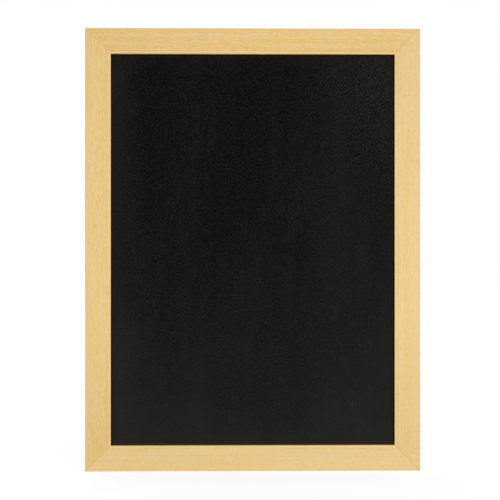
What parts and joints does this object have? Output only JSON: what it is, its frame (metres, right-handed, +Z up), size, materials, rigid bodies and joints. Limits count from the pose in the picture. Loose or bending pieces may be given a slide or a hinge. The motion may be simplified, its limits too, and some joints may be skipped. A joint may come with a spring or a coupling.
{
  "type": "framed wall chalkboard",
  "caption": "Upright black chalkboard in a mitred beech frame, with tabs that hold the panel and ring hangers on the back.",
  "frame": {"origin": "middle of the board's width and height, on the plane of the frame's back, which faces the wall", "axes": "+X to the right of someone facing the written side, +Y into the wall, +Z up"},
  "size_m": [0.303, 0.0188, 0.4],
  "materials": {
    "beech_frame": "planed beech under clear satin lacquer",
    "chalk_panel": "hardboard with a fine-grained black chalk coating, low sheen",
    "v_nail_steel": "bright spring steel strip",
    "tab_steel": "thin galvanised steel",
    "strap_steel": "zinc-plated strip, folded",
    "screw_steel": "zinc-plated",
    "ring_nickel": "nickel-plated wire"
  },
  "bodies": {
    "frame": {"left_stile": "beech_frame", "right_stile": "beech_frame", "top_rail": "beech_frame", "bottom_rail": "beech_frame", "writing_panel": "chalk_panel", "v_nail_bottom_left_1": "v_nail_steel", "v_nail_bottom_left_2": "v_nail_steel", "v_nail_top_left_1": "v_nail_steel", "v_nail_top_left_2": "v_nail_steel", "v_nail_top_right_1": "v_nail_steel", "v_nail_top_right_2": "v_nail_steel", "v_nail_bottom_right_1": "v_nail_steel", "v_nail_bottom_right_2": "v_nail_steel", "panel_tab_left_1": "tab_steel", "panel_tab_left_2": "tab_steel", "panel_tab_left_3": "tab_steel", "panel_tab_right_1": "tab_steel", "panel_tab_right_2": "tab_steel", "panel_tab_right_3": "tab_steel", "panel_tab_top_1": "tab_steel", "panel_tab_top_2": "tab_steel", "panel_tab_bottom_1": "tab_steel", "panel_tab_bottom_2": "tab_steel", "left_hanger_strap": "strap_steel", "right_hanger_strap": "strap_steel", "left_hanger_screw": "screw_steel", "right_hanger_screw": "screw_steel"},
    "left_ring": {"left_d_ring": "ring_nickel"},
    "right_ring": {"right_d_ring": "ring_nickel"}
  },
  "joints": [
    {"name": "left_ring_swing", "type": "hinge", "parent": "frame", "child": "left_ring", "pos_m": [-0.143, 0.0019, 0.12], "axis": [-1, 0, 0], "range_deg": [0, 171]},
    {"name": "right_ring_swing", "type": "hinge", "parent": "frame", "child": "right_ring", "pos_m": [0.143, 0.0019, 0.12], "axis": [-1, 0, 0], "range_deg": [0, 171]}
  ]
}
